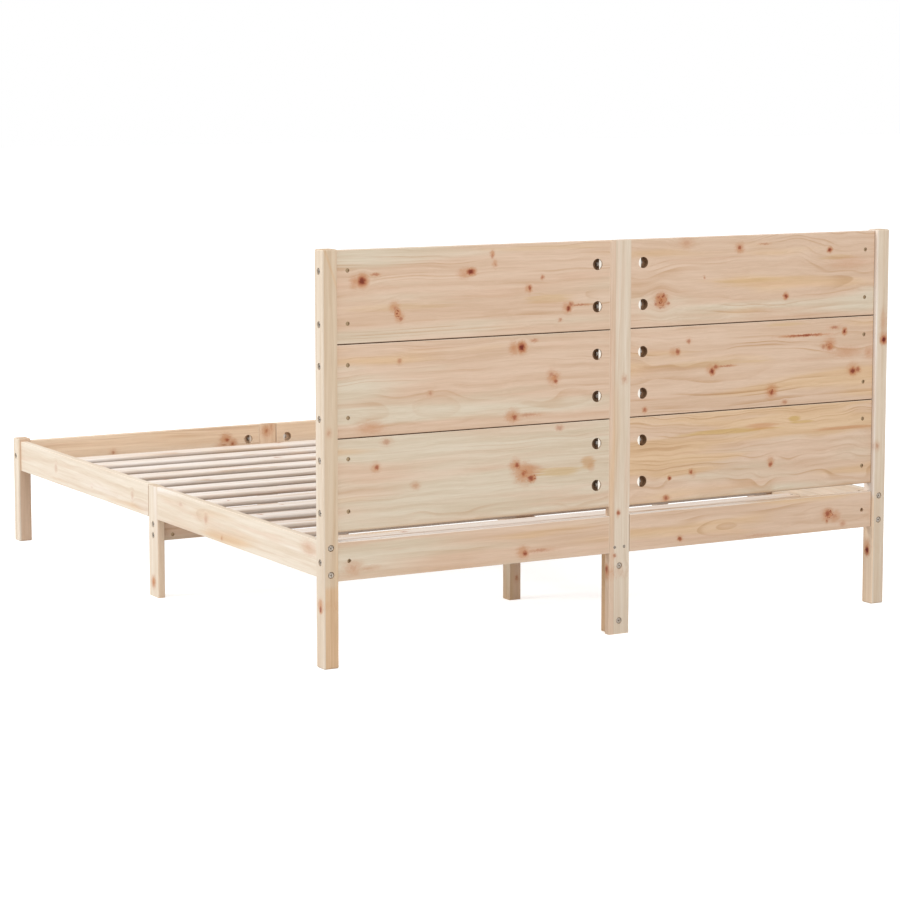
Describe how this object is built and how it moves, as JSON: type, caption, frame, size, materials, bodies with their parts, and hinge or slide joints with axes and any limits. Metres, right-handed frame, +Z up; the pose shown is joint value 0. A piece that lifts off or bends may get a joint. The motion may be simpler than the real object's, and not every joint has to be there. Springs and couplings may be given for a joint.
{
  "type": "bed frame",
  "caption": "Plain pine bed frame for a double mattress, with a slatted base between low side rails on short square legs, and an upright headboard of wide boards.",
  "frame": {"origin": "on the floor under the middle of the frame's outline", "axes": "+X across the bed, to the right as seen from the foot, +Y along the bed to the headboard, +Z up"},
  "size_m": [1.655, 2.055, 0.988],
  "materials": {
    "pine_headboard": "bare planed pine with red knots",
    "pine_rail": "bare planed pine with knots",
    "pine_post": "bare planed pine, eased edges",
    "pine_slat": "bare planed pale pine, rounded edges",
    "zinc_plated_steel": "zinc plated",
    "beech_dowel": "bare ribless dowel"
  },
  "bodies": {
    "root": {"barrel_nuts": "zinc_plated_steel", "beam_screws": "zinc_plated_steel", "centre_beam": "pine_rail", "centre_leg_at_foot_rail": "pine_post", "centre_leg_at_headboard": "pine_post", "centre_leg_towards_foot": "pine_post", "centre_leg_towards_head": "pine_post", "cross_beam": "pine_rail", "cross_beam_bolts": "zinc_plated_steel", "dowels": "beech_dowel", "foot_post_left": "pine_post", "foot_post_right": "pine_post", "foot_rail_left": "pine_rail", "foot_rail_right": "pine_rail", "half_moon_washers": "zinc_plated_steel", "head_post_left": "pine_post", "head_post_right": "pine_post", "head_rail_left": "pine_rail", "head_rail_right": "pine_rail", "headboard_board_1_left": "pine_headboard", "headboard_board_1_right": "pine_headboard", "headboard_board_2_left": "pine_headboard", "headboard_board_2_right": "pine_headboard", "headboard_board_3_left": "pine_headboard", "headboard_board_3_right": "pine_headboard", "ledger_screws": "zinc_plated_steel", "leg_bolts": "zinc_plated_steel", "middle_foot_post": "pine_post", "middle_head_post": "pine_post", "middle_side_post_left": "pine_post", "middle_side_post_right": "pine_post", "post_bolts": "zinc_plated_steel", "side_rail_left_foot": "pine_rail", "side_rail_left_head": "pine_rail", "side_rail_right_foot": "pine_rail", "side_rail_right_head": "pine_rail", "slat_01": "pine_slat", "slat_02": "pine_slat", "slat_03": "pine_slat", "slat_04": "pine_slat", "slat_05": "pine_slat", "slat_06": "pine_slat", "slat_07": "pine_slat", "slat_08": "pine_slat", "slat_09": "pine_slat", "slat_10": "pine_slat", "slat_11": "pine_slat", "slat_12": "pine_slat", "slat_13": "pine_slat", "slat_14": "pine_slat", "slat_15": "pine_slat", "slat_ledger_left": "pine_rail", "slat_ledger_right": "pine_rail", "slat_screws": "zinc_plated_steel", "tie_rod_nuts": "zinc_plated_steel", "tie_rods": "zinc_plated_steel"}
  },
  "joints": []
}
